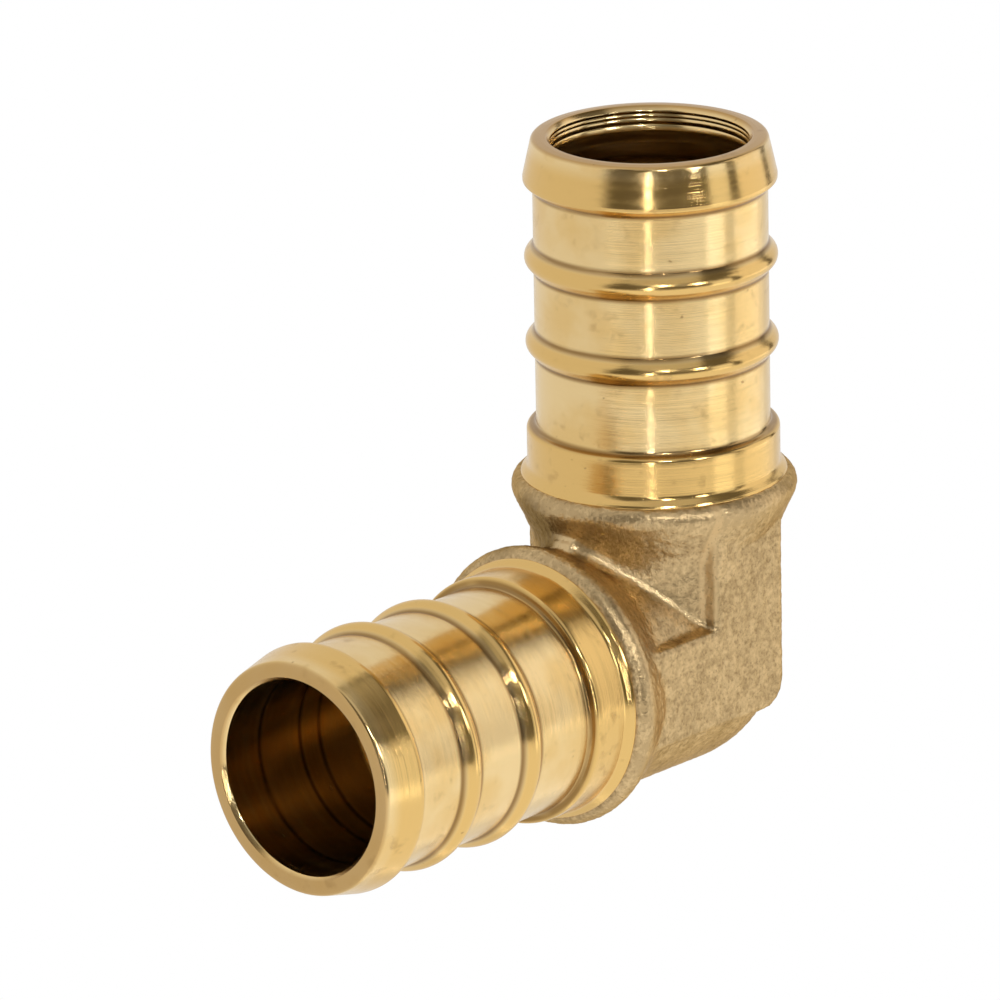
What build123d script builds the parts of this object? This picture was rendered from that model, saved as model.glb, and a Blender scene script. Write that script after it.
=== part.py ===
from build123d import *
from math import cos, radians, sin, sqrt, tan
import os

# Brass crimp elbow for PEX tube: one forging with two barbed spigots at a right angle.
#
# Frame: millimetres, the origin is where the two bore axes cross. The first leg runs along +X
# and the second along +Y. +Z is square to both, so the elbow lies on its side.

# ---- driving dimensions, mm ----
centre_to_end = 36.3        # bore crossing to the mouth of each spigot
bore_radius = 6.75          # waterway
bore_overrun = 1.5          # how far the full bore runs past the crossing
drill_point_angle = 118.0   # included angle of the drill that made the bores
mouth_chamfer = 0.3         # broken inner edge at the mouth

root_radius = 8.0           # spigot between its ribs
rib_radius = 8.65           # crest of every rib
mouth_radius = 8.05         # outer edge of the end face
mouth_rounding = 0.3        # round on that edge
lead_length = 2.75          # end face to the crest of the lead-in cone
lead_crest_length = 0.3     # short land at the top of the cone
lead_back_length = 0.5      # step from that land down to the root, along the axis

first_rib_from_end = 8.45   # end face to the first round rib
rib_pitch = 6.0             # spacing of the round ribs
rib_count = 2
rib_half_width = 0.95       # half the width of a rib at its foot
rib_crest_round = 0.8       # round over the top of a rib
rib_crest_angle = 42.0      # how far that round turns to each side of the top, degrees

collar_face = 12.6          # bore crossing to the machined face of the collar
collar_rise = 1.38          # how far the forged collar stands out from the barrel
collar_crest_round = 1.0    # round over the collar
collar_crest_back = 0.95    # collar face to the collar's widest place
collar_taper_angle = 25.0   # fall of the collar's back, degrees
collar_foot_round = 3.0     # round where that fall meets the barrel
stop_radius = 8.65          # tube stop, the plain step in front of the collar
stop_length = 3.3           # collar face to the front of the tube stop
stop_rounding = 0.3         # round on the front edge of the tube stop
cove_length = 0.75          # cove between tube stop and collar, along the axis
cove_sag = 0.1              # how far the middle of the cove lies inside a straight flare

barrel_radius = 8.4         # forged barrel behind each collar
flat_rise = 0.15            # how far each side flat stands above the top of the barrel
flat_half_width = 3.45      # half the width of each side flat
flat_draft = 12.0           # draft angle of the sides of the flats, degrees
flat_corner_radius = 2.0    # round on the outer corner of the L-shaped flats
crook_fillet = 0.8          # round in the valley between the barrels
web_thickness = 1.7         # small web in the crook, on the parting plane
web_setback = 0.1           # how far the web's free corner lies inside the collars
web_rounding = 0.35         # round on the web's free corner

collar_radius = barrel_radius + collar_rise
flat_height = barrel_radius + flat_rise


def spigot_profile():
    """Half section of one leg's outside from its axis out, drawn along +X with the radius in +Y."""
    with BuildSketch() as section:
        with BuildLine():
            outline = lead_in()
            for number in range(rib_count):
                outline += round_rib(outline[-1] @ 1, rib_centre(number))
            outline += stop_and_collar(outline[-1] @ 1)
            Polyline(outline[-1] @ 1, (0, barrel_radius), (0, 0), (centre_to_end, 0))
        make_face()
    return section.sketch


def lead_in():
    """Outline of the mouth: end face, cone, its crest and the step back down to the root."""
    crest = centre_to_end - lead_length
    step = crest - lead_crest_length
    outline = Polyline(
        (centre_to_end, 0),
        (centre_to_end, mouth_radius - mouth_rounding),
        (centre_to_end - mouth_rounding, mouth_radius),
        (crest, rib_radius),
        (step, rib_radius),
        (step - lead_back_length, root_radius),
    )
    return [outline]


def rib_centre(number):
    """Place along the axis of a round rib, counted from the mouth."""
    return centre_to_end - first_rib_from_end - number * rib_pitch


def round_rib(start, centre):
    """Outline of one round rib: the root before it, a flank, the facets of its crest and a flank."""
    crest_centre = rib_radius - rib_crest_round
    crest_angles = [-rib_crest_angle, -rib_crest_angle / 3, rib_crest_angle / 3, rib_crest_angle]
    crest = [
        (
            centre - rib_crest_round * sin(radians(angle)),
            crest_centre + rib_crest_round * cos(radians(angle)),
        )
        for angle in crest_angles
    ]
    foot = (centre + rib_half_width, root_radius)
    end = (centre - rib_half_width, root_radius)
    return [Polyline(start, foot, *crest, end)]


def stop_and_collar(start):
    """Outline of the tube stop, the cove and the forged collar with its tapered back."""
    stop_front = collar_face + stop_length
    crest_top = (collar_face - collar_crest_back, collar_radius)
    crest_centre = collar_radius - collar_crest_round
    face_radius = crest_centre + sqrt(collar_crest_round**2 - collar_crest_back**2)
    stop = Polyline(
        start,
        (stop_front, root_radius),
        (stop_front, stop_radius - stop_rounding),
        (stop_front - stop_rounding, stop_radius),
        (collar_face + cove_length, stop_radius),
        (collar_face + cove_length / 2 - cove_sag, (stop_radius + face_radius) / 2 - cove_sag),
        (collar_face, face_radius),
    )
    edge_round = RadiusArc(stop @ 1, crest_top, -collar_crest_round)
    crest = JernArc(crest_top, (-1, 0), collar_crest_round, collar_taper_angle)
    foot_drop = collar_foot_round * (1 - cos(radians(collar_taper_angle)))
    fall = (crest @ 1).Y - barrel_radius - foot_drop
    taper = PolarLine(crest @ 1, fall / sin(radians(collar_taper_angle)), direction=crest % 1)
    foot = JernArc(taper @ 1, taper % 1, collar_foot_round, -collar_taper_angle)
    return [stop, edge_round, crest, taper, foot]


def leg():
    """Outside of one leg along +X, turned about its own axis."""
    return revolve(spigot_profile(), axis=Axis.X)


def side_flats():
    """The L-shaped raised flats on both sides, with drafted walls that sink into the barrels."""
    reach = collar_face - collar_crest_back - collar_crest_round
    with BuildSketch() as outline:
        with Locations((reach / 2 - flat_half_width / 2, 0)):
            Rectangle(reach + flat_half_width, 2 * flat_half_width)
        with Locations((0, reach / 2 - flat_half_width / 2)):
            Rectangle(2 * flat_half_width, reach + flat_half_width)
        outer = outline.vertices().sort_by(Axis((0, 0, 0), (1, 1, 0)))[0]
        fillet(outer, flat_corner_radius)
    top = Plane.XY.offset(flat_height) * outline.sketch
    upper = extrude(top, amount=-flat_height / 2, taper=-flat_draft)
    return upper + mirror(upper, about=Plane.XY)


def crook_web():
    """Small web on the parting plane that bridges the two collars in the crook."""
    inner = barrel_radius - crook_fillet
    side = collar_radius - web_setback - inner
    middle = inner + side / 2
    block = Pos(middle, middle, 0) * Box(side, side, web_thickness)
    corner = block.edges().filter_by(Axis.Z).sort_by(Axis((0, 0, 0), (1, 1, 0)))[-1]
    return fillet(corner, web_rounding)


def bore():
    """One waterway cut along +X, with its drill point past the crossing."""
    point_length = bore_radius / tan(radians(drill_point_angle / 2))
    with BuildSketch() as half:
        with BuildLine():
            Polyline(
                (-bore_overrun - point_length, 0),
                (-bore_overrun, bore_radius),
                (centre_to_end - mouth_chamfer, bore_radius),
                (centre_to_end, bore_radius + mouth_chamfer),
                (centre_to_end + 1, bore_radius + mouth_chamfer),
                (centre_to_end + 1, 0),
                close=True,
            )
        make_face()
    return revolve(half.sketch, axis=Axis.X)


def swap_axes(solid):
    """Mirror image of a solid that trades the two legs' places."""
    return mirror(solid, about=Plane(origin=(0, 0, 0), z_dir=(1, -1, 0)))


def valley_edges(solid):
    """The two long edges where the barrels meet in the crook, one on each side."""
    on_diagonal = [
        edge
        for edge in solid.edges()
        if abs(edge.center().X - edge.center().Y) < 1e-3 and edge.center().X > flat_half_width
    ]
    return sorted(on_diagonal, key=lambda edge: edge.length)[-2:]


def elbow():
    """The whole fitting: two legs, the rounded corner, side flats, crook web and waterways."""
    first_leg = leg()
    forging = first_leg + swap_axes(first_leg) + Sphere(barrel_radius) + side_flats()
    forging = fillet(valley_edges(forging), crook_fillet) + crook_web()
    waterway = bore()
    return forging - waterway - swap_axes(waterway)


os.makedirs("parts", exist_ok=True)
export_step(elbow().solid(), "parts/elbow_body.step")
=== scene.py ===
"""Looks of a brass crimp elbow: machined spigots, turned bores and a blasted forging."""

import logging
import math
from dataclasses import dataclass
from enum import Enum
from typing import Sequence

import bpy
import numpy as np
from mathutils import Matrix, Vector


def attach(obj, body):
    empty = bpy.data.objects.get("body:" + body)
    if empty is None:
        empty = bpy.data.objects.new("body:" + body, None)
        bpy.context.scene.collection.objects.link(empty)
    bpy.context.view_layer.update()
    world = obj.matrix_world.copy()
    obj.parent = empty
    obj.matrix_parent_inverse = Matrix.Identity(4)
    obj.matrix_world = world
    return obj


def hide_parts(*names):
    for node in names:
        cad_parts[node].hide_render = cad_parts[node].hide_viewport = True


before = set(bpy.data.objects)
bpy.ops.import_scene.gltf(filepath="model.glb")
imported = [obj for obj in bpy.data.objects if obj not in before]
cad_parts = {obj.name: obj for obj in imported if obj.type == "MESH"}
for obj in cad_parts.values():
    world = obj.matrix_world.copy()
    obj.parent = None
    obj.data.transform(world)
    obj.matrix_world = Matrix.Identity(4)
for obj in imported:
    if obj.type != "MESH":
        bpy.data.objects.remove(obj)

LOG = logging.getLogger("elbow")
MM = 0.001

Point = tuple[float, float, float]
Colour = tuple[float, float, float, float]
WHITE: Colour = (1.0, 1.0, 1.0, 1.0)
SEAM = 0.000001


class Leg(Enum):
    """The two legs of the elbow, by the frame axis that each runs along."""

    FIRST = "first"
    SECOND = "second"

    def turn(self) -> Matrix:
        """The turn that carries a leg built along +X to this leg's place.

        Returns:
            A rotation about the origin.
        """
        if self is Leg.FIRST:
            return Matrix.Identity(4)
        return Matrix(((0, 1, 0, 0), (1, 0, 0, 0), (0, 0, -1, 0), (0, 0, 0, 1)))


# ---------------------------------------------------------------- shader maths


class Sock:
    """A shader value that can be used in Python expressions."""

    def __init__(self, graph: "Graph", socket: bpy.types.NodeSocket) -> None:
        """Wraps one output socket.

        Args:
            graph: The graph that the socket belongs to.
            socket: The output socket.
        """
        self.graph = graph
        self.socket = socket

    def __add__(self, other: "Sock | float") -> "Sock":
        """Sum, as in self + other."""
        return self.graph.math("ADD", self, other)

    def __radd__(self, other: "Sock | float") -> "Sock":
        """Sum, as in other + self."""
        return self.graph.math("ADD", other, self)

    def __sub__(self, other: "Sock | float") -> "Sock":
        """Difference, as in self - other."""
        return self.graph.math("SUBTRACT", self, other)

    def __rsub__(self, other: "Sock | float") -> "Sock":
        """Difference, as in other - self."""
        return self.graph.math("SUBTRACT", other, self)

    def __mul__(self, other: "Sock | float") -> "Sock":
        """Product, as in self * other."""
        return self.graph.math("MULTIPLY", self, other)

    def __rmul__(self, other: "Sock | float") -> "Sock":
        """Product, as in other * self."""
        return self.graph.math("MULTIPLY", other, self)

    def __abs__(self) -> "Sock":
        """Size without its sign."""
        return self.graph.math("ABSOLUTE", self)

    def sqrt(self) -> "Sock":
        """Square root."""
        return self.graph.math("SQRT", self)

    def at_least(self, other: "Sock | float") -> "Sock":
        """The larger of this value and another."""
        return self.graph.math("MAXIMUM", self, other)

    def at_most(self, other: "Sock | float") -> "Sock":
        """The smaller of this value and another."""
        return self.graph.math("MINIMUM", self, other)

    def ramp(self, low: float, high: float) -> "Sock":
        """Smooth step that is 0 at one value and 1 at another.

        Args:
            low: Where the step is 0.
            high: Where the step is 1; it may be below low.

        Returns:
            The step, from 0 to 1.
        """
        node = self.graph.node(
            "ShaderNodeMapRange",
            {"interpolation_type": "SMOOTHSTEP"},
            {"Value": self, "From Min": min(low, high), "From Max": max(low, high)},
        )
        step = Sock(self.graph, node.outputs["Result"])
        return step if high > low else 1.0 - step


class Graph:
    """The shader nodes of a material or of the surroundings, written as expressions."""

    def __init__(self, owner: bpy.types.Material | bpy.types.World) -> None:
        """Empties the owner's nodes, down to its output.

        Args:
            owner: The material or the world that the nodes belong to.
        """
        owner.use_nodes = True
        self.owner = owner
        self.tree = owner.node_tree
        self.tree.nodes.clear()
        kind = "World" if isinstance(owner, bpy.types.World) else "Material"
        self.output = self.tree.nodes.new(f"ShaderNodeOutput{kind}")

    def node(
        self,
        kind: str,
        settings: dict[str, object] | None = None,
        sockets: dict[int | str, object] | None = None,
    ) -> bpy.types.Node:
        """Adds one node.

        Args:
            kind: The node's type.
            settings: Properties to set on the node.
            sockets: Values or links for its inputs, by name or place.

        Returns:
            The new node.
        """
        made = self.tree.nodes.new(kind)
        for key, value in (settings or {}).items():
            setattr(made, key, value)
        for key, value in (sockets or {}).items():
            self.feed(made.inputs[key], value)
        return made

    def feed(self, target: bpy.types.NodeSocket, value: object) -> None:
        """Links a value to an input, or sets the input to a constant.

        Args:
            target: The input socket.
            value: A Sock, an output socket or a constant.
        """
        if isinstance(value, Sock):
            self.tree.links.new(value.socket, target)
        elif isinstance(value, bpy.types.NodeSocket):
            self.tree.links.new(value, target)
        else:
            target.default_value = value

    def math(self, operation: str, *values: Sock | float) -> Sock:
        """Adds one Math node.

        Args:
            operation: The node's operation.
            values: Its inputs in order.

        Returns:
            The node's result.
        """
        made = self.node("ShaderNodeMath", {"operation": operation}, dict(enumerate(values)))
        return Sock(self, made.outputs[0])

    def place(self) -> tuple[Sock, Sock, Sock]:
        """The surface point in the part's own frame, in millimetres.

        Returns:
            Its X, Y and Z.
        """
        coords = self.node("ShaderNodeTexCoord")
        parts = self.node("ShaderNodeSeparateXYZ", sockets={"Vector": coords.outputs["Object"]})
        return tuple(Sock(self, parts.outputs[i]) * (1.0 / MM) for i in range(3))

    def vector(self, x: Sock | float, y: Sock | float, z: Sock | float) -> bpy.types.NodeSocket:
        """Joins three values.

        Args:
            x: First value.
            y: Second value.
            z: Third value.

        Returns:
            The vector's output socket.
        """
        return self.node("ShaderNodeCombineXYZ", sockets={"X": x, "Y": y, "Z": z}).outputs[0]

    def noise(
        self,
        at: bpy.types.NodeSocket,
        scale: float,
        detail: float = 2.0,
        roughness: float = 0.5,
    ) -> Sock:
        """Noise over a vector.

        Args:
            at: The vector.
            scale: Cells per unit of the vector.
            detail: Octaves.
            roughness: Weight of the finer octaves.

        Returns:
            The noise, near 0.5 on average.
        """
        made = self.node(
            "ShaderNodeTexNoise",
            {"noise_dimensions": "3D"},
            {"Vector": at, "Scale": scale, "Detail": detail, "Roughness": roughness},
        )
        return Sock(self, made.outputs[0])

    def blend(self, factor: Sock | float, low: object, high: object) -> bpy.types.NodeSocket:
        """Mixes two colours.

        Args:
            factor: 0 gives low and 1 gives high.
            low: A colour or a colour socket.
            high: A colour or a colour socket.

        Returns:
            The mixed colour's socket.
        """
        settings = {"data_type": "RGBA", "clamp_factor": True}
        return self.node("ShaderNodeMix", settings, {0: factor, 6: low, 7: high}).outputs[2]

    def distance(self, place: Sequence[Sock], centre: Point) -> Sock:
        """Distance of a point from a fixed one.

        Args:
            place: The point's three coordinates.
            centre: The fixed point.

        Returns:
            The distance.
        """
        x, y, z = (value - at for value, at in zip(place, centre))
        return (x * x + y * y + z * z).sqrt()

    def near(self, value: Sock, places: Sequence[float], reach: float) -> Sock | float:
        """How near a value is to any of several places.

        Args:
            value: The value.
            places: The places.
            reach: Distance at which a place stops counting.

        Returns:
            1 at a place, 0 at its reach and beyond.
        """
        total: Sock | float = 0.0
        for place in places:
            total = abs(value - place).ramp(reach, 0.0) + total
        return total

    def bump(self, height: Sock, distance: float) -> bpy.types.NodeSocket:
        """Turns a height into a shading normal.

        Args:
            height: The height, in units of distance.
            distance: Metres for one unit of height.

        Returns:
            The normal's socket.
        """
        sockets = {"Height": height, "Distance": distance, "Strength": 1.0}
        return self.node("ShaderNodeBump", sockets=sockets).outputs["Normal"]

    def either(
        self, factor: bpy.types.NodeSocket, first: bpy.types.Node, second: bpy.types.Node
    ) -> bpy.types.Node:
        """Mixes two shaders.

        Args:
            factor: 0 gives the first and 1 the second.
            first: A shader.
            second: Another shader.

        Returns:
            The mixed shader.
        """
        sockets = {0: factor, 1: first.outputs[0], 2: second.outputs[0]}
        return self.node("ShaderNodeMixShader", sockets=sockets)

    def end(self, shader: bpy.types.Node) -> None:
        """Makes a shader the graph's result.

        Args:
            shader: The shader.
        """
        self.tree.links.new(shader.outputs[0], self.output.inputs[0])

    def close(self, **inputs: object) -> bpy.types.Material:
        """Adds the Principled shader that ends a material.

        Args:
            inputs: Its inputs, with underscores for spaces.

        Returns:
            The finished material.
        """
        sockets = {key.replace("_", " "): value for key, value in inputs.items()}
        self.end(self.node("ShaderNodeBsdfPrincipled", sockets=sockets))
        return self.owner


# ------------------------------------------------------------------- finishes


@dataclass(frozen=True)
class MachinedFinish:
    """Brass straight off the lathe, with fine turning marks, a few handling stains and specks,
    deeper gold on the raised rings, painted shade in the creases beside them and painted shade on
    the mouth faces.
    """

    creases: Sequence[float] = ()
    pale: Colour = (0.87, 0.665, 0.345, 1.0)
    deep: Colour = (0.76, 0.49, 0.15, 1.0)
    # Real tarnish for the stains and specks, and painted shade for the creases.
    tarnish_and_shade: Colour = (0.24, 0.125, 0.035, 1.0)
    # Painted shade for the end faces at the mouths.
    mouth_shade: Colour = (0.50, 0.31, 0.115, 1.0)
    end: float = 36.3
    lip_depth: float = 0.3
    root: float = 8.05
    crest: float = 8.35
    past_crest: float = 8.7
    crease_shade_reach: float = 0.34
    rings_along: float = 30.0
    rings_across: float = 18.0
    chatter_along: float = 2.2
    chatter_across: float = 0.16
    cloud_cells: float = 0.22
    stain_cells: float = 0.85
    speck_cells: float = 1.9
    roughness: float = 0.13
    mark_depth: float = 0.006
    seed: float = 3.7

    def material(self) -> bpy.types.Material:
        """Builds the finish.

        Returns:
            The material.
        """
        g = Graph(bpy.data.materials.new("machined_brass"))
        x, y, z = g.place()
        along, across = x.at_least(y), x.at_most(y)
        radius = (across * across + z * z).sqrt()

        turned = g.vector(along * self.rings_along, radius * self.rings_across, self.seed)
        rings = g.noise(turned, 1.0, 2.0, 0.6)
        hit = g.vector(
            along * self.chatter_along,
            across * self.chatter_across,
            z * self.chatter_across + self.seed,
        )
        chatter = g.noise(hit, 1.0, 3.0)
        wide = self.cloud_cells
        cloud = g.noise(g.vector(x * wide, y * wide, z * wide + self.seed), 1.0, 3.0)
        fine = g.noise(g.vector(x, y, z + self.seed), self.stain_cells, 2.0)
        dots = g.noise(g.vector(x, y, z + 2.0 * self.seed), self.speck_cells, 1.0)
        specks = dots.ramp(0.76, 0.83)
        stain = fine.ramp(0.56, 0.76) * cloud.ramp(0.44, 0.62)

        # Deeper gold towards the crest radius: on the ribs, the stop and the lead-in crest.
        raised_gold = radius.ramp(self.root, self.crest) * 0.75
        gold = (cloud.ramp(0.36, 0.66) * 0.5).at_least(raised_gold)
        colour = g.blend(gold, self.pale, self.deep)
        # Painted shade: the end faces at both mouths are painted darker, the second leg's a little
        # less.
        first_mouth_shade = x.ramp(self.end - self.lip_depth, self.end)
        second_mouth_shade = y.ramp(self.end - self.lip_depth, self.end) * 0.75
        colour = g.blend(first_mouth_shade.at_least(second_mouth_shade), colour, self.mouth_shade)
        # Painted shade: the creases at the rib feet, the stop foot and the lead step are darkened
        # towards the tarnish colour, where shade falls.
        corner = g.near(along, self.creases, self.crease_shade_reach)
        crease_shade = corner * radius.ramp(self.past_crest, self.crest) * chatter.ramp(0.1, 0.5)
        # marks holds the real stains and specks together with the painted crease shade.
        marks = (stain * 0.28 + specks * 0.5).at_least(crease_shade * 0.85)
        colour = g.blend(marks, colour, self.tarnish_and_shade)

        rough = self.roughness + chatter.ramp(0.35, 0.75) * 0.10 + stain * 0.10
        normal = g.bump(rings + chatter * 0.15 - specks * 0.3, self.mark_depth * MM)
        return g.close(Base_Color=colour, Metallic=1.0, Roughness=rough, Normal=normal)


@dataclass(frozen=True)
class BoreFinish:
    """The drilled and reamed bore: browned brass with tool rings, painted paler as highlights, and
    painted light towards the first bore's mouth.
    """

    first_rings: Sequence[float]
    second_rings: Sequence[float]
    first_reach: float = 0.16
    second_reach: float = 0.13
    bright: Colour = (0.86, 0.72, 0.45, 1.0)
    dark: Colour = (0.52, 0.39, 0.21, 1.0)
    scored_and_highlight: Colour = (0.95, 0.84, 0.62, 1.0)
    mouth_from: float = 30.0
    rings_along: float = 3.4
    drag_along: float = 16.0
    drag_across: float = 0.5
    grooves_along: float = 12.0
    cloud_cells: float = 0.3
    roughness: float = 0.25
    ring_depth: float = 0.06
    seed: float = 8.1

    def material(self) -> bpy.types.Material:
        """Builds the finish.

        Returns:
            The material.
        """
        g = Graph(bpy.data.materials.new("bored_brass"))
        x, y, z = g.place()
        along, across = x.at_least(y), x.at_most(y)

        rings = g.noise(g.vector(along * self.rings_along, 0.0, self.seed), 1.0, 4.0, 0.65)
        pulled = g.vector(along * self.drag_along, across * self.drag_across, z * self.drag_across)
        drag = g.noise(pulled, 1.0, 2.0)
        grooves = g.noise(g.vector(along * self.grooves_along, 0.0, self.seed), 1.0, 2.0)
        wide = self.cloud_cells
        cloud = g.noise(g.vector(x * wide, y * wide, z * wide + self.seed), 1.0, 3.0)
        first = g.near(x, self.first_rings, self.first_reach)
        second = g.near(y, self.second_rings, self.second_reach)
        tool = (first + second) * cloud.ramp(0.30, 0.55)

        tone = rings.ramp(0.42, 0.70) * 0.6 + cloud.ramp(0.4, 0.7) * 0.4
        # Painted light: the first bore is painted paler towards its mouth, where light falls into
        # it.
        tone = tone.at_least(x.ramp(self.mouth_from + 1.5, self.mouth_from + 5.5))
        colour = g.blend(tone, self.dark, self.bright)
        # Tool rings: real scores, also painted paler as a painted highlight so that they read as
        # lit lines.
        colour = g.blend(tool, colour, self.scored_and_highlight)
        mouth = x.ramp(self.mouth_from, self.mouth_from + 5.0)
        rough = self.roughness + drag * 0.14 + mouth * 0.3 + tool * 0.45
        height = rings + drag * 0.5 + grooves * 2.0 + tool * 0.3
        normal = g.bump(height, self.ring_depth * MM)
        return g.close(Base_Color=colour, Metallic=1.0, Roughness=rough, Normal=normal)


@dataclass(frozen=True)
class ForgedFinish:
    """Blasted forging skin: matt and grainy, with painted highlights on the web, the valley, the
    collars and the first flat's edge, and painted shade in the crook.
    """

    light: Colour = (0.70, 0.52, 0.28, 1.0)
    dark: Colour = (0.37, 0.26, 0.13, 1.0)
    pit: Colour = (0.22, 0.15, 0.075, 1.0)
    crook_shade: Colour = (0.10, 0.065, 0.035, 1.0)
    edge: Colour = (0.80, 0.64, 0.42, 1.0)
    crook_shade_at: Point = (9.4, 9.4, -3.4)
    web_at: Point = (9.5, 9.5, 0.4)
    valley_from: float = 3.7
    flat_edge: float = 3.65
    collar_from: float = 9.0
    collar_to: float = 9.6
    peel_cells: float = 1.9
    grain_cells: float = 4.2
    patch_cells: float = 0.45
    metallic: float = 0.97
    roughness: float = 0.30
    grain_depth: float = 0.045
    seed: float = 1.3

    def material(self) -> bpy.types.Material:
        """Builds the finish.

        Returns:
            The material.
        """
        g = Graph(bpy.data.materials.new("forged_brass"))
        x, y, z = g.place()
        here = g.vector(x, y, z + self.seed)
        peel = g.noise(here, self.peel_cells, 2.0, 0.6)
        grain = g.noise(here, self.grain_cells, 2.0, 0.6)
        patch = g.noise(here, self.patch_cells, 3.0)

        # Painted highlights: the web in the crook, the valley line between the barrels, the collars
        # and the first flat's edge are painted towards the light colour.
        web = g.distance((x, y, z), self.web_at).ramp(1.6, 0.7)
        valley = abs(x - y).ramp(0.75, 0.15) * abs(z).ramp(2.2, 4.0)
        valley = valley * x.ramp(self.valley_from, self.valley_from + 0.5)
        ridge = abs(y - self.flat_edge).ramp(0.55, 0.2) * x.ramp(3.9, 4.4) * z.ramp(7.0, 7.5)
        across = x.at_most(y)
        collar = (across * across + z * z).sqrt().ramp(self.collar_from, self.collar_to) * 0.5
        painted_highlight = web.at_least(valley).at_least(collar).at_least(ridge)

        tone = peel.ramp(0.32, 0.66) * 0.45 + grain.ramp(0.35, 0.65) * 0.3
        tone = tone + patch.ramp(0.35, 0.65) * 0.25
        colour = g.blend(tone.at_least(painted_highlight), self.dark, self.light)
        colour = g.blend(grain.ramp(0.42, 0.30) * 0.4, colour, self.pit)
        # Painted shade: the inner corner of the crook, between the legs, is painted dark.
        crook_shading = g.distance((x, y, z), self.crook_shade_at).ramp(3.6, 1.8) * 0.7
        colour = g.blend(crook_shading, colour, self.crook_shade)
        rough = self.roughness + patch * 0.10 - tone * 0.06 + ridge * 0.2
        return g.close(
            Base_Color=colour,
            Metallic=self.metallic,
            Roughness=rough,
            Specular_Tint=self.edge,
            Normal=g.bump(grain + peel, self.grain_depth * MM),
        )


# --------------------------------------------------------------- node groups


def interface(tree: bpy.types.NodeTree, name: str, kind: str, default: object = None) -> None:
    """Adds one named input to a geometry node tree.

    Args:
        tree: The node tree.
        name: The input's name.
        kind: Its socket type.
        default: Its default value, if it has one.
    """
    made = tree.interface.new_socket(name=name, in_out="INPUT", socket_type=kind)
    if default is not None:
        made.default_value = default


class Shaper:
    """A geometry node tree under construction."""

    def __init__(self, name: str, inputs: Sequence[tuple[str, str, object]]) -> None:
        """Starts a tree with a geometry input and output.

        Args:
            name: The tree's name.
            inputs: Its other inputs, each as name, socket type and default.
        """
        self.tree = bpy.data.node_groups.new(name, "GeometryNodeTree")
        interface(self.tree, "Geometry", "NodeSocketGeometry")
        for entry in inputs:
            interface(self.tree, *entry)
        self.tree.interface.new_socket(
            name="Geometry", in_out="OUTPUT", socket_type="NodeSocketGeometry"
        )
        self.inputs = self.tree.nodes.new("NodeGroupInput")
        self.output = self.tree.nodes.new("NodeGroupOutput")

    def node(
        self,
        kind: str,
        settings: dict[str, object] | None = None,
        sockets: dict[int | str, object] | None = None,
    ) -> bpy.types.Node:
        """Adds one node.

        Args:
            kind: The node's type.
            settings: Properties to set on it.
            sockets: Values or links for its inputs, by name or place.

        Returns:
            The new node.
        """
        made = self.tree.nodes.new(kind)
        for key, value in (settings or {}).items():
            setattr(made, key, value)
        for key, value in (sockets or {}).items():
            if isinstance(value, bpy.types.NodeSocket):
                self.tree.links.new(value, made.inputs[key])
            else:
                made.inputs[key].default_value = value
        return made

    def math(self, operation: str, *values: object) -> bpy.types.NodeSocket:
        """Adds one Math node.

        Args:
            operation: The node's operation.
            values: Its inputs in order.

        Returns:
            The result's socket.
        """
        made = self.node("ShaderNodeMath", {"operation": operation}, dict(enumerate(values)))
        return made.outputs[0]

    def end(self, geometry: bpy.types.NodeSocket) -> bpy.types.NodeTree:
        """Realizes, dresses and outputs the geometry.

        Args:
            geometry: The geometry to end with.

        Returns:
            The finished tree.
        """
        real = self.node("GeometryNodeRealizeInstances", sockets={"Geometry": geometry})
        smooth = self.node(
            "GeometryNodeSetShadeSmooth", sockets={"Geometry": real.outputs["Geometry"]}
        )
        dressed = self.node(
            "GeometryNodeSetMaterial",
            sockets={
                "Geometry": smooth.outputs["Geometry"],
                "Material": self.inputs.outputs["Material"],
            },
        )
        self.tree.links.new(dressed.outputs["Geometry"], self.output.inputs["Geometry"])
        return self.tree


def turning_tree() -> bpy.types.NodeTree:
    """A lathe: turns a wire profile, given as points (along, radius), about the X axis.

    Returns:
        The node tree, with inputs Profile Points, Segments and Material.
    """
    s = Shaper(
        "lathe",
        [
            ("Profile Points", "NodeSocketInt", 2),
            ("Segments", "NodeSocketInt", 96),
            ("Material", "NodeSocketMaterial", None),
        ],
    )
    source = s.inputs.outputs
    rows = s.math("ADD", source["Segments"], 1.0)
    grid = s.node(
        "GeometryNodeMeshGrid",
        sockets={
            "Size X": 1.0,
            "Size Y": 1.0,
            "Vertices X": source["Profile Points"],
            "Vertices Y": rows,
        },
    )
    at = s.node("GeometryNodeInputPosition").outputs[0]
    split = s.node("ShaderNodeSeparateXYZ", sockets={0: at})
    last = s.math("SUBTRACT", source["Profile Points"], 1.0)
    index = s.math("ROUND", s.math("MULTIPLY", s.math("ADD", split.outputs[0], 0.5), last))
    angle = s.math("MULTIPLY", s.math("ADD", split.outputs[1], 0.5), 2.0 * math.pi)
    sample = s.node(
        "GeometryNodeSampleIndex",
        {"data_type": "FLOAT_VECTOR", "domain": "POINT"},
        {"Geometry": source["Geometry"], "Value": at, "Index": index},
    )
    point = s.node("ShaderNodeSeparateXYZ", sockets={0: sample.outputs[0]})
    radius = point.outputs[1]
    place = s.node(
        "ShaderNodeCombineXYZ",
        sockets={
            0: point.outputs[0],
            1: s.math("MULTIPLY", radius, s.math("COSINE", angle)),
            2: s.math("MULTIPLY", radius, s.math("SINE", angle)),
        },
    )
    moved = s.node(
        "GeometryNodeSetPosition",
        sockets={"Geometry": grid.outputs["Mesh"], "Position": place.outputs[0]},
    )
    closed = s.node(
        "GeometryNodeMergeByDistance",
        sockets={"Geometry": moved.outputs["Geometry"], "Distance": SEAM},
    )
    return s.end(closed.outputs["Geometry"])


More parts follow.
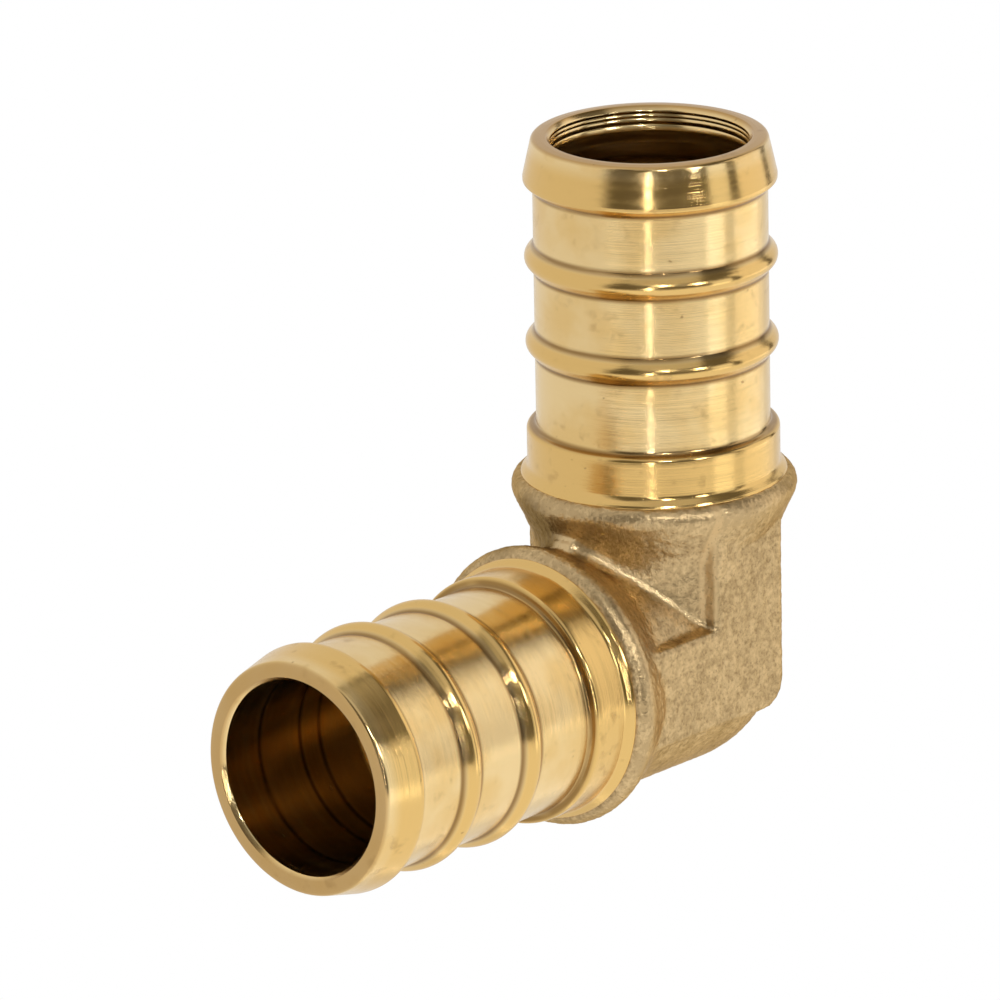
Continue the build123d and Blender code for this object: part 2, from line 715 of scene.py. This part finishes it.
def grain_tree() -> bpy.types.NodeTree:
    """Blasting grain: moves each point along its normal by noise, weighted by the point's "skin".

    Returns:
        The node tree, with inputs Depth, Cells, Seed and Material.
    """
    s = Shaper(
        "blasting",
        [
            ("Depth", "NodeSocketFloat", 0.00002),
            ("Cells", "NodeSocketFloat", 2500.0),
            ("Seed", "NodeSocketFloat", 0.0),
            ("Material", "NodeSocketMaterial", None),
        ],
    )
    source = s.inputs.outputs
    noise = s.node(
        "ShaderNodeTexNoise",
        {"noise_dimensions": "4D"},
        {"W": source["Seed"], "Scale": source["Cells"], "Detail": 2.0, "Roughness": 0.6},
    )
    skin = s.node(
        "GeometryNodeInputNamedAttribute", {"data_type": "FLOAT"}, {"Name": "skin"}
    ).outputs["Attribute"]
    lift = s.math("MULTIPLY", s.math("SUBTRACT", noise.outputs[0], 0.5), source["Depth"])
    normal = s.node("GeometryNodeInputNormal").outputs[0]
    offset = s.node(
        "ShaderNodeVectorMath",
        {"operation": "SCALE"},
        {0: normal, "Scale": s.math("MULTIPLY", lift, skin)},
    )
    moved = s.node(
        "GeometryNodeSetPosition",
        sockets={"Geometry": source["Geometry"], "Offset": offset.outputs[0]},
    )
    return s.end(moved.outputs["Geometry"])


def apply_tree(
    piece: bpy.types.Object, tree: bpy.types.NodeTree, values: dict[str, object]
) -> None:
    """Runs a node tree on an object and keeps the result as its plain mesh.

    Args:
        piece: The object.
        tree: The node tree.
        values: The tree's inputs, by name.
    """
    modifier = piece.modifiers.new(tree.name, "NODES")
    modifier.node_group = tree
    names = {
        item.name: item.identifier
        for item in tree.interface.items_tree
        if item.item_type == "SOCKET" and item.in_out == "INPUT"
    }
    for name, value in values.items():
        modifier[names[name]] = value
    settle(piece)


def modify(piece: bpy.types.Object, kind: str, settings: dict[str, object]) -> None:
    """Adds one modifier.

    Args:
        piece: The object.
        kind: The modifier's type.
        settings: Its settings.
    """
    modifier = piece.modifiers.new(kind.lower(), kind)
    for key, value in settings.items():
        setattr(modifier, key, value)


def settle(piece: bpy.types.Object) -> None:
    """Turns an object's modifiers into its plain mesh.

    Args:
        piece: The object.
    """
    piece.update_tag()
    graph = bpy.context.evaluated_depsgraph_get()
    made = bpy.data.meshes.new_from_object(piece.evaluated_get(graph), depsgraph=graph)
    old = piece.data
    piece.modifiers.clear()
    piece.data = made
    made.name = piece.name
    bpy.data.meshes.remove(old)


def add_object(name: str, mesh: bpy.types.Mesh) -> bpy.types.Object:
    """Puts a mesh in the scene at the origin.

    Args:
        name: The object's name.
        mesh: Its mesh.

    Returns:
        The new object.
    """
    made = bpy.data.objects.new(name, mesh)
    bpy.context.scene.collection.objects.link(made)
    return made


# --------------------------------------------------------------------- pieces


@dataclass
class SpigotProfile:
    """Outline of one machined spigot, from the collar out to the mouth and back up the bore."""

    end: float = 36.3
    bore: float = 6.75
    root: float = 8.0
    crest: float = 8.65
    mouth: float = 8.05
    mouth_round: float = 0.32
    bore_edge: float = 0.3
    lead: float = 2.75
    lead_land: float = 0.3
    lead_step: float = 0.5
    first_rib: float = 8.45
    rib_pitch: float = 6.0
    rib_count: int = 2
    rib_half_width: float = 0.95
    rib_round: float = 0.72
    rib_foot: float = 0.08
    rib_overshoot: float = 0.22
    stop_front: float = 15.9
    stop_round: float = 0.32
    stop_foot: float = 0.3
    stop_slope: float = 0.12
    cove_end: float = 13.35
    cove_back: float = 0.25
    cove_round: float = 0.5
    face: float = 12.6
    face_radius: float = 9.09
    face_lift: float = 0.03
    face_land: float = 0.14
    face_bevel: float = 0.04
    overlap: float = 0.1
    scores: Sequence[float] = ()
    score_half_width: float = 0.10
    score_depth: float = 0.07
    arc_steps: int = 7
    longest_step: float = 0.35

    def corners(self) -> list[tuple[float, float, float]]:
        """The outline's corners from the collar to the mouth, each as along, radius and round.

        Returns:
            The corners in order.
        """
        crest_at = self.end - self.lead
        step_at = crest_at - self.lead_land
        out = [
            (self.face - self.overlap, self.face_radius + self.face_lift, 0.0),
            (self.face, self.face_radius + self.face_lift, 0.05),
            (self.face + self.face_land, self.face_radius - self.face_bevel, 0.12),
            (self.cove_end - self.cove_back, self.crest, self.cove_round),
            (self.stop_front, self.crest, self.stop_round),
            (self.stop_front + self.stop_slope, self.root, self.stop_foot),
        ]
        for number in reversed(range(self.rib_count)):
            middle = self.end - self.first_rib - number * self.rib_pitch
            out += [
                (middle - self.rib_half_width, self.root, self.rib_foot),
                (middle, self.crest + self.rib_overshoot, self.rib_round),
                (middle + self.rib_half_width, self.root, self.rib_foot),
            ]
        out += [
            (step_at - self.lead_step, self.root, 0.25),
            (step_at, self.crest, 0.2),
            (crest_at, self.crest, 0.3),
            (self.end - 0.06, self.mouth, self.mouth_round),
            (self.end, (self.mouth + self.bore) / 2, 0.5),
            (self.end, self.bore + self.bore_edge, 0.12),
            (self.end - self.bore_edge, self.bore, 0.15),
        ]
        for place in self.scores:
            out += [
                (place + self.score_half_width, self.bore, 0.0),
                (place, self.bore + self.score_depth, 0.02),
                (place - self.score_half_width, self.bore, 0.0),
            ]
        out.append((self.face - self.overlap, self.bore, 0.0))
        return out

    def creases(self) -> tuple[float, ...]:
        """Places along the axis where the outline falls to the root.

        Returns:
            The places, in millimetres.
        """
        ribs = [self.end - self.first_rib - i * self.rib_pitch for i in range(self.rib_count)]
        feet = [rib + side * self.rib_half_width for rib in ribs for side in (-1, 1)]
        step = self.end - self.lead - self.lead_land - self.lead_step
        return (step, self.stop_front + self.stop_slope, *feet)

    def points(self) -> np.ndarray:
        """The outline with its corners rounded and its long runs divided.

        Returns:
            An array of (along, radius) in millimetres.
        """
        corners = self.corners()
        line: list[np.ndarray] = [np.array(corners[0][:2])]
        for before, here, after in zip(corners, corners[1:], corners[2:]):
            line += self.rounded(np.array(before[:2]), here, np.array(after[:2]))
        line.append(np.array(corners[-1][:2]))
        return self.divided(line)

    def rounded(
        self, before: np.ndarray, corner: tuple[float, float, float], after: np.ndarray
    ) -> list[np.ndarray]:
        """Replaces one corner by an arc tangent to both of its sides.

        Args:
            before: The corner before.
            corner: The corner and its round.
            after: The corner after.

        Returns:
            The arc's points.
        """
        here, radius = np.array(corner[:2]), corner[2]
        back, ahead = before - here, after - here
        back_length, ahead_length = np.linalg.norm(back), np.linalg.norm(ahead)
        back, ahead = back / back_length, ahead / ahead_length
        half = math.acos(max(-1.0, min(1.0, float(back @ ahead)))) / 2
        cut = min(radius / math.tan(half), 0.48 * back_length, 0.48 * ahead_length)
        radius = cut * math.tan(half)
        middle = back + ahead
        length = np.linalg.norm(middle)
        if radius < 1e-4 or length < 1e-6:
            return [here]
        centre = here + middle / length * (radius / math.sin(half))
        start, stop = here + back * cut - centre, here + ahead * cut - centre
        sweep = math.pi - 2 * half
        arc = []
        for step in range(self.arc_steps + 1):
            share = step / self.arc_steps
            weight_a = math.sin((1 - share) * sweep) / math.sin(sweep)
            weight_b = math.sin(share * sweep) / math.sin(sweep)
            arc.append(centre + weight_a * start + weight_b * stop)
        return arc

    def divided(self, line: list[np.ndarray]) -> np.ndarray:
        """Divides the outline's long runs.

        Args:
            line: The outline.

        Returns:
            The outline with no run longer than the longest step.
        """
        out = [line[0]]
        for a, b in zip(line, line[1:]):
            parts = max(1, math.ceil(float(np.linalg.norm(b - a)) / self.longest_step))
            out += [a + (b - a) * (i + 1) / parts for i in range(parts)]
        return np.array(out)


@dataclass
class TurnedSpigot:
    """One machined spigot: ribs, lead-in cone, mouth and the bore behind it."""

    leg: Leg
    profile: SpigotProfile
    segments: int = 224

    def build(self, lathe: bpy.types.NodeTree, skin: bpy.types.Material) -> bpy.types.Object:
        """Turns the spigot.

        Args:
            lathe: The node tree that turns a profile.
            skin: The outside's material.

        Returns:
            The spigot.
        """
        line = self.profile.points() * MM
        mesh = bpy.data.meshes.new(f"{self.leg.value}_spigot")
        mesh.from_pydata(
            [(along, radius, 0.0) for along, radius in line],
            [(i, i + 1) for i in range(len(line) - 1)],
            [],
        )
        piece = add_object(mesh.name, mesh)
        values = {"Profile Points": len(line), "Segments": self.segments, "Material": skin}
        apply_tree(piece, lathe, values)
        piece.data.transform(self.leg.turn())
        if self.leg is Leg.FIRST:
            piece.data.flip_normals()
        return piece

    def dress(self, piece: bpy.types.Object, bore: bpy.types.Material) -> None:
        """Gives the bore its own finish.

        Args:
            piece: The spigot.
            bore: The bore's material.
        """
        piece.data.materials.append(bore)
        axis = 0 if self.leg is Leg.FIRST else 1
        limit = (self.profile.bore + self.profile.score_depth) * MM
        for face in piece.data.polygons:
            across = face.center[1 - axis]
            if math.hypot(across, face.center[2]) < limit:
                face.material_index = 1


@dataclass
class ForgedBody:
    """The blasted forging behind the spigots, with the crossing bores inside it."""

    node: str = "elbow_body"
    cut: float = 12.6
    block_reach: float = 30.0
    voxel: float = 0.195
    softening: int = 2
    bore_limit: float = 7.1
    crossing_reach: float = 7.5
    grain_depth: float = 0.17
    grain_cells: float = 1.9
    seed: float = 4.0

    def build(self) -> bpy.types.Object:
        """Cuts the forging off the solid and gives it an even, slightly softened skin.

        Returns:
            The forging.
        """
        piece = add_object("forged_body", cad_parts[self.node].data.copy())
        piece.data.materials.clear()
        cutter = self.block()
        cut = {"operation": "INTERSECT", "solver": "EXACT", "object": cutter}
        modify(piece, "BOOLEAN", cut)
        modify(piece, "REMESH", {"mode": "VOXEL", "voxel_size": self.voxel * MM})
        soften = {"factor": 0.5, "iterations": self.softening, "use_only_smooth": True}
        modify(piece, "CORRECTIVE_SMOOTH", soften)
        settle(piece)
        bpy.data.objects.remove(cutter)
        self.mark(piece)
        return piece

    def block(self) -> bpy.types.Object:
        """The block of space that holds the forging.

        Returns:
            A box up to both collar faces.
        """
        reach = self.block_reach * MM
        sides = (-reach, self.cut * MM)
        corners = [(x, y, z) for x in sides for y in sides for z in (-reach, reach)]
        faces = [(0, 1, 3, 2), (4, 6, 7, 5), (0, 4, 5, 1), (2, 3, 7, 6), (0, 2, 6, 4), (1, 5, 7, 3)]
        mesh = bpy.data.meshes.new("block")
        mesh.from_pydata(corners, [], faces)
        return add_object("block", mesh)

    def mark(self, piece: bpy.types.Object) -> None:
        """Writes how much of the blasting each point takes: none in the bores.

        Args:
            piece: The forging.
        """
        place = np.empty(len(piece.data.vertices) * 3, dtype=np.float32)
        piece.data.vertices.foreach_get("co", place)
        x, y, z = place.reshape(-1, 3).T / MM
        middle = np.sqrt(x * x + y * y + z * z) < self.crossing_reach
        in_first = ((x > 0) | middle) & (np.hypot(y, z) < self.bore_limit)
        in_second = ((y > 0) | middle) & (np.hypot(x, z) < self.bore_limit)
        weight = (~(in_first | in_second)).astype(np.float32)
        skin = piece.data.attributes.new("skin", "FLOAT", "POINT")
        skin.data.foreach_set("value", weight)

    def dress(
        self,
        piece: bpy.types.Object,
        blasting: bpy.types.NodeTree,
        skin: bpy.types.Material,
        bore: bpy.types.Material,
    ) -> None:
        """Blasts the outside and gives the bores their own finish.

        Args:
            piece: The forging.
            blasting: The node tree that adds the grain.
            skin: The outside's material.
            bore: The bores' material.
        """
        values = {
            "Depth": self.grain_depth * MM,
            "Cells": self.grain_cells / MM,
            "Seed": self.seed,
            "Material": skin,
        }
        apply_tree(piece, blasting, values)
        piece.data.materials.append(bore)
        weight = piece.data.attributes["skin"].data
        for face in piece.data.polygons:
            if all(weight[i].value < 0.5 for i in face.vertices):
                face.material_index = 1


# --------------------------------------------------------------------- studio


@dataclass(frozen=True)
class Lamp:
    """One soft light, placed by its bearing from the camera and its height over the horizon."""

    name: str
    bearing: float
    rise: float
    width: float
    height: float
    glow: float
    distance: float = 0.8
    colour: Point = (1.0, 1.0, 1.0)

    def power(self) -> float:
        """The power that gives the light's face its glow.

        Returns:
            Watts.
        """
        return math.pi * self.width * self.height * self.glow


@dataclass
class Studio:
    """Camera, pale floor, soft lights and the dim room around them.

    The first leg points up for the camera, so heights are along +X and bearings are about it.
    """

    toward: Point = (0.3235, 0.7110, 0.6244)
    distance: float = 0.7636
    roll: float = math.radians(-0.7885)
    lens: float = 400.24
    sensor: float = 36.0
    shift: tuple[float, float] = (-0.1564, 0.1418)
    floor_level: float = -9.79
    floor_reach: float = 3.0
    floor_glow: Colour = (0.82, 0.79, 0.75, 1.0)
    floor_paper: Colour = (0.86, 0.85, 0.83, 1.0)
    dim_room: Colour = (0.15, 0.135, 0.11, 1.0)
    lamps: Sequence[Lamp] = (
        Lamp("key", 12.0, 36.5, 0.045, 0.045, 130.0),
        Lamp("side_key", 45.0, 26.0, 0.10, 0.10, 26.0),
        Lamp("strip", -2.0, 3.0, 0.010, 0.34, 46.0),
        Lamp("sky", 20.0, 70.0, 0.70, 0.70, 0.45),
        Lamp("right_box", 66.0, 4.0, 0.30, 0.60, 0.86),
        Lamp("back_box", 108.0, 14.0, 0.62, 0.86, 0.88, colour=(1.0, 0.95, 0.91)),
        Lamp("table", 0.0, -90.0, 3.2, 3.2, 0.85, 0.34, (1.0, 0.98, 0.95)),
    )

    def axes(self) -> tuple[Vector, Vector, Vector]:
        """The camera's own directions.

        Returns:
            Unit vectors to the right, up and back towards the camera.
        """
        toward = Vector(self.toward).normalized()
        right = (-toward).cross(Vector((1, 0, 0))).normalized()
        up = right.cross(-toward)
        c, s = math.cos(self.roll), math.sin(self.roll)
        return c * right + s * up, c * up - s * right, toward

    def aim(self) -> None:
        """Adds the camera."""
        right, up, toward = self.axes()
        data = bpy.data.cameras.new("camera")
        data.lens = self.lens
        data.sensor_width = self.sensor
        data.shift_x, data.shift_y = self.shift
        data.clip_start = 0.05
        data.clip_end = 20.0
        camera = bpy.data.objects.new("camera", data)
        turn = Matrix((right, up, toward)).transposed().to_4x4()
        camera.matrix_world = Matrix.Translation(toward * self.distance) @ turn
        bpy.context.scene.collection.objects.link(camera)
        bpy.context.scene.camera = camera

    def light(self) -> None:
        """Adds the lamps, each facing the part and unseen by the camera itself."""
        height = Vector((1, 0, 0))
        ahead = Vector((0, self.toward[1], self.toward[2])).normalized()
        right = (-ahead).cross(height).normalized()
        for lamp in self.lamps:
            bearing, rise = math.radians(lamp.bearing), math.radians(lamp.rise)
            flat = ahead * math.cos(bearing) + right * math.sin(bearing)
            back = flat * math.cos(rise) + height * math.sin(rise)
            side = right * math.cos(bearing) - ahead * math.sin(bearing)
            data = bpy.data.lights.new(lamp.name, "AREA")
            data.shape = "RECTANGLE"
            data.size = lamp.width
            data.size_y = lamp.height
            data.energy = lamp.power()
            data.color = lamp.colour
            made = bpy.data.objects.new(lamp.name, data)
            turn = Matrix((side, back.cross(side), back)).transposed().to_4x4()
            made.matrix_world = Matrix.Translation(back * lamp.distance) @ turn
            made.visible_camera = False
            bpy.context.scene.collection.objects.link(made)

    def room(self) -> None:
        """Sets the surroundings: white to the camera, a dim warm room to the metal."""
        world = bpy.data.worlds.new("room")
        bpy.context.scene.world = world
        g = Graph(world)
        seen = g.node("ShaderNodeLightPath").outputs
        dim = g.node("ShaderNodeBackground", sockets={"Color": self.dim_room})
        white = g.node("ShaderNodeBackground", sockets={"Color": WHITE})
        g.end(g.either(seen["Is Camera Ray"], dim, white))

    def floor(self) -> None:
        """Adds the pale floor that the part lies on."""
        mesh = bpy.data.meshes.new("floor")
        reach, level = self.floor_reach, self.floor_level * MM
        turns = ((-1, -1), (1, -1), (1, 1), (-1, 1))
        corners = [(x * reach, y * reach, level) for x, y in turns]
        mesh.from_pydata(corners, [], [(0, 1, 2, 3)])
        g = Graph(bpy.data.materials.new("pale_floor"))
        seen = g.node("ShaderNodeLightPath").outputs
        paper = g.node("ShaderNodeBsdfDiffuse", sockets={"Color": self.floor_paper})
        white = g.node("ShaderNodeEmission", sockets={"Color": WHITE})
        glow = g.node("ShaderNodeEmission", sockets={"Color": self.floor_glow})
        mirrored = g.either(seen["Is Glossy Ray"], paper, glow)
        g.end(g.either(seen["Is Camera Ray"], mirrored, white))
        mesh.materials.append(g.owner)
        add_object("floor", mesh)

    def build(self) -> None:
        """Sets up the whole studio."""
        bpy.context.scene.view_settings.view_transform = "Standard"
        self.aim()
        self.light()
        self.room()
        self.floor()


def main() -> None:
    """Builds the part's look and the studio."""
    logging.basicConfig(level=logging.INFO, format="%(message)s")
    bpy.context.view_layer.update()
    machined = MachinedFinish(creases=SpigotProfile().creases()).material()
    scores = {Leg.FIRST: (35.75, 35.45, 35.0), Leg.SECOND: (23.2, 21.4, 20.6)}
    bored = BoreFinish(first_rings=scores[Leg.FIRST], second_rings=scores[Leg.SECOND]).material()
    forged = ForgedFinish().material()
    body = ForgedBody()
    forging = body.build()
    body.dress(forging, grain_tree(), forged, bored)
    pieces = [forging]
    lathe = turning_tree()
    for leg in Leg:
        spigot = TurnedSpigot(leg, SpigotProfile(scores=scores[leg]))
        piece = spigot.build(lathe, machined)
        spigot.dress(piece, bored)
        pieces.append(piece)
    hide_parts(body.node)
    for piece in pieces:
        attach(piece, "root")
        LOG.info("%s: %d faces", piece.name, len(piece.data.polygons))
    Studio().build()


if __name__ == "__main__":
    main()
